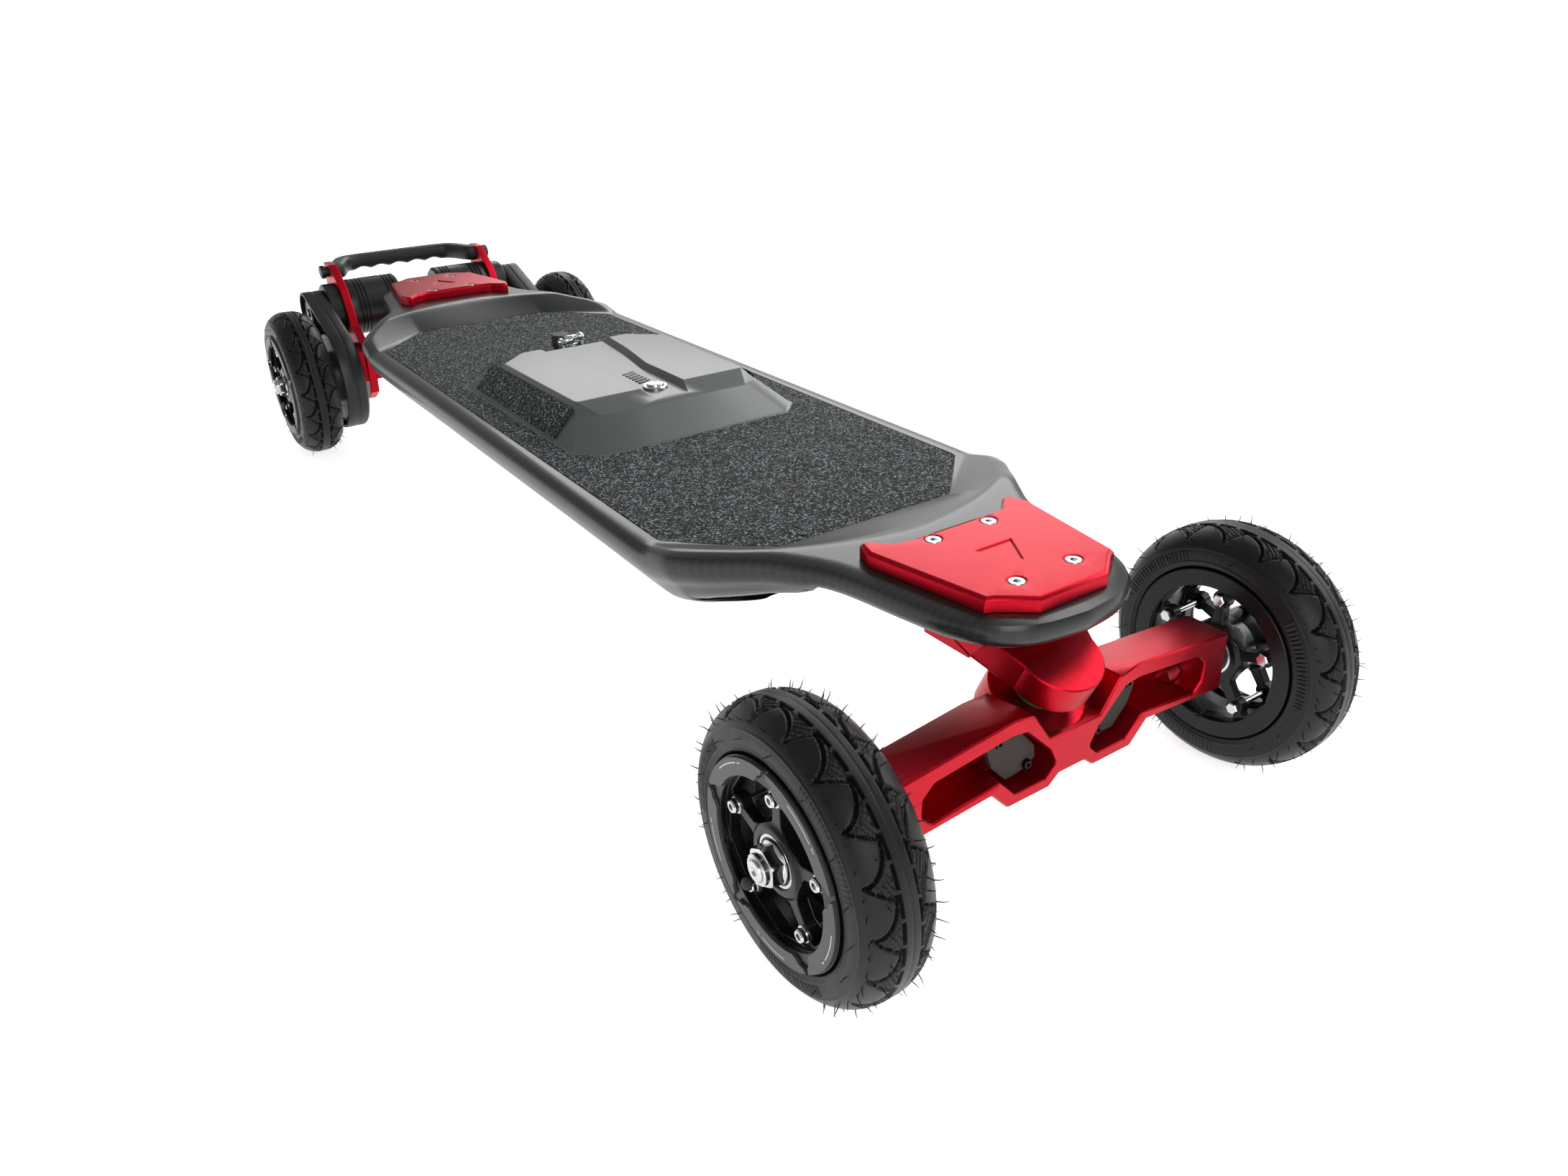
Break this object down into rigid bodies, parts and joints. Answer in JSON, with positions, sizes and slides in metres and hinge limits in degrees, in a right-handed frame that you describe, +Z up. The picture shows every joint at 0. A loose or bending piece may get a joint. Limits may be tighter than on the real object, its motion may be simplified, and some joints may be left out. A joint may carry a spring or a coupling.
{
  "type": "electric skateboard",
  "caption": "All-terrain electric skateboard: dropped carbon deck with battery hump, red machined trucks, air tyres, rear belt drive and a carry handle.",
  "frame": {"origin": "on the ground, under the centre of the whole board with its handle", "axes": "+X towards the nose, +Y to the left of a rider who faces the nose, +Z up"},
  "size_m": [1.1776, 0.3806, 0.1865],
  "materials": {
    "tyre": "smooth moulded rubber",
    "rim_black": "satin black",
    "screw_steel": "bright",
    "bright_steel": "turned",
    "green_urethane": "glossy cast urethane",
    "bronze": "turned",
    "red_anodised": "bead blasted and anodised",
    "printed_plate": "layered print",
    "black_screw": "black oxide",
    "belt_rubber": "matt",
    "guard_plastic": "moulded",
    "motor_black": "satin",
    "pulley_steel": "hobbed",
    "handle_black": "moulded grip",
    "carbon": "satin lacquer over twill",
    "grip": "coarse grit",
    "hump_carbon": "satin lacquer over twill",
    "led_lens": "dark lens",
    "chrome": "polished",
    "cell_wrap": "heat shrink",
    "tray_plastic": "moulded",
    "alu_case": "anodised"
  },
  "bodies": {
    "deck": {"battery_cells": "cell_wrap", "battery_tray": "tray_plastic", "bay_lid": "carbon", "button_bezel": "chrome", "charge_level_bars": "led_lens", "deck_shell": "carbon", "front_bushings": "green_urethane", "front_clamp_plate": "red_anodised", "front_kingpin": "bright_steel", "front_truck_base": "red_anodised", "front_truck_bolts": "screw_steel", "grip_tape": "grip", "hump_cover": "hump_carbon", "latch_base": "chrome", "lid_screws": "screw_steel", "motor_controller": "alu_case", "rear_bushings": "green_urethane", "rear_clamp_plate": "red_anodised", "rear_kingpin": "bright_steel", "rear_truck_base": "red_anodised", "rear_truck_bolts": "screw_steel"},
    "front_truck": {"front_axle_nuts": "bright_steel", "front_axles": "bright_steel", "front_hanger": "red_anodised", "front_pivot_bush": "bronze", "front_window_plates": "printed_plate", "front_window_screws": "black_screw"},
    "rear_truck": {"belt_guards": "guard_plastic", "belts": "belt_rubber", "carry_handle": "handle_black", "motor_arms": "red_anodised", "motors": "motor_black", "rear_axle_nuts": "bright_steel", "rear_axles": "bright_steel", "rear_hanger": "red_anodised", "rear_pivot_bush": "bronze", "rear_window_plates": "printed_plate", "rear_window_screws": "black_screw"},
    "front_left_wheel": {"front_left_bearings": "bright_steel", "front_left_rim": "rim_black", "front_left_tyre": "tyre", "front_left_wheel_bolts": "screw_steel"},
    "front_right_wheel": {"front_right_bearings": "bright_steel", "front_right_rim": "rim_black", "front_right_tyre": "tyre", "front_right_wheel_bolts": "screw_steel"},
    "rear_left_wheel": {"left_wheel_pulley": "pulley_steel", "rear_left_bearings": "bright_steel", "rear_left_rim": "rim_black", "rear_left_tyre": "tyre", "rear_left_wheel_bolts": "screw_steel"},
    "rear_right_wheel": {"rear_right_bearings": "bright_steel", "rear_right_rim": "rim_black", "rear_right_tyre": "tyre", "rear_right_wheel_bolts": "screw_steel", "right_wheel_pulley": "pulley_steel"},
    "left_motor_rotor": {"left_motor_pulley": "pulley_steel"},
    "right_motor_rotor": {"right_motor_pulley": "pulley_steel"},
    "power_button": {"power_button": "chrome"},
    "latch_lever": {"latch_lever": "chrome"}
  },
  "joints": [
    {"name": "front_steer", "type": "hinge", "parent": "deck", "child": "front_truck", "pos_m": [0.50725, 0, 0.112], "axis": [0.4226, 0, 0.9063], "range_deg": [-12, 12], "stiffness_Nm_per_rad": 60},
    {"name": "front_left_wheel_spin", "type": "hinge", "parent": "front_truck", "child": "front_left_wheel", "pos_m": [0.51125, 0.16, 0.0775], "axis": [0, 1, 0], "continuous": true},
    {"name": "front_right_wheel_spin", "type": "hinge", "parent": "front_truck", "child": "front_right_wheel", "pos_m": [0.51125, -0.16, 0.0775], "axis": [0, 1, 0], "continuous": true},
    {"name": "rear_steer", "type": "hinge", "parent": "deck", "child": "rear_truck", "pos_m": [-0.45475, 0, 0.112], "axis": [-0.4226, 0, 0.9063], "range_deg": [-12, 12], "stiffness_Nm_per_rad": 60},
    {"name": "rear_left_wheel_spin", "type": "hinge", "parent": "rear_truck", "child": "rear_left_wheel", "pos_m": [-0.45875, 0.16, 0.0775], "axis": [0, 1, 0], "continuous": true},
    {"name": "rear_right_wheel_spin", "type": "hinge", "parent": "rear_truck", "child": "rear_right_wheel", "pos_m": [-0.45875, -0.16, 0.0775], "axis": [0, 1, 0], "continuous": true},
    {"name": "left_motor_spin", "type": "hinge", "parent": "rear_truck", "child": "left_motor_rotor", "pos_m": [-0.52275, 0.118, 0.1375], "axis": [0, 1, 0], "continuous": true},
    {"name": "right_motor_spin", "type": "hinge", "parent": "rear_truck", "child": "right_motor_rotor", "pos_m": [-0.52275, -0.118, 0.1375], "axis": [0, 1, 0], "continuous": true},
    {"name": "power_press", "type": "slide", "parent": "deck", "child": "power_button", "axis": [0, 0, -1], "range_m": [0, 0.0015], "stiffness_N_per_m": 400},
    {"name": "latch_open", "type": "hinge", "parent": "deck", "child": "latch_lever", "pos_m": [-0.11775, 0.018, 0.1634], "axis": [0, -1, 0], "range_deg": [0, 75]}
  ],
  "couplings": [
    {"joint": "left_motor_spin", "follows": "rear_left_wheel_spin", "ratio": 3.75},
    {"joint": "right_motor_spin", "follows": "rear_right_wheel_spin", "ratio": 3.75}
  ]
}
